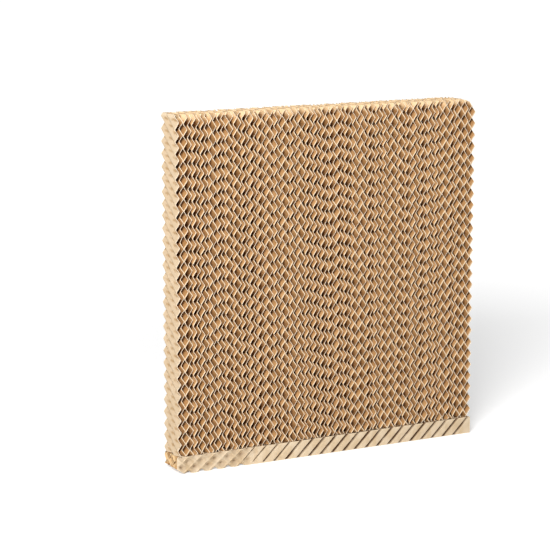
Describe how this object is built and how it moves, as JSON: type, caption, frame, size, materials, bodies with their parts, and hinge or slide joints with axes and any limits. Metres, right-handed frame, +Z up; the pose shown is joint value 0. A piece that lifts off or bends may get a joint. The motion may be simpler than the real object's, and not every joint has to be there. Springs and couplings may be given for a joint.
{
  "type": "evaporative cooler pad",
  "caption": "Flat square cooling pad of waved paper sheets glued crest to crest with crossing flutes, on a strip of the same paper turned to face the front.",
  "frame": {"origin": "middle of the underside, on the level that the pad stands on", "axes": "+X across the width to the right as seen from the front, -Y out of the front face, +Z up"},
  "size_m": [0.539, 0.05, 0.56],
  "materials": {
    "block_paper": "resin-stiffened kraft paper, waved and dry, matt",
    "strip_paper": "resin-stiffened kraft paper, paler and smoother, matt"
  },
  "bodies": {
    "root": {"falling_sheets_01": "block_paper", "falling_sheets_02": "block_paper", "falling_sheets_03": "block_paper", "falling_sheets_04": "block_paper", "falling_sheets_05": "block_paper", "falling_sheets_06": "block_paper", "falling_sheets_07": "block_paper", "falling_sheets_08": "block_paper", "falling_sheets_09": "block_paper", "falling_sheets_10": "block_paper", "falling_sheets_11": "block_paper", "falling_sheets_12": "block_paper", "falling_sheets_13": "block_paper", "falling_sheets_14": "block_paper", "falling_sheets_15": "block_paper", "falling_sheets_16": "block_paper", "falling_sheets_17": "block_paper", "falling_sheets_18": "block_paper", "falling_sheets_19": "block_paper", "falling_sheets_20": "block_paper", "rising_sheets_01": "block_paper", "rising_sheets_02": "block_paper", "rising_sheets_03": "block_paper", "rising_sheets_04": "block_paper", "rising_sheets_05": "block_paper", "rising_sheets_06": "block_paper", "rising_sheets_07": "block_paper", "rising_sheets_08": "block_paper", "rising_sheets_09": "block_paper", "rising_sheets_10": "block_paper", "rising_sheets_11": "block_paper", "rising_sheets_12": "block_paper", "rising_sheets_13": "block_paper", "rising_sheets_14": "block_paper", "rising_sheets_15": "block_paper", "rising_sheets_16": "block_paper", "rising_sheets_17": "block_paper", "rising_sheets_18": "block_paper", "rising_sheets_19": "block_paper", "strip_face_sheet": "strip_paper", "strip_sheet_01": "strip_paper", "strip_sheet_02": "strip_paper", "strip_sheet_03": "strip_paper", "strip_sheet_04": "strip_paper", "strip_sheet_05": "strip_paper", "strip_sheet_06": "strip_paper"}
  },
  "joints": []
}
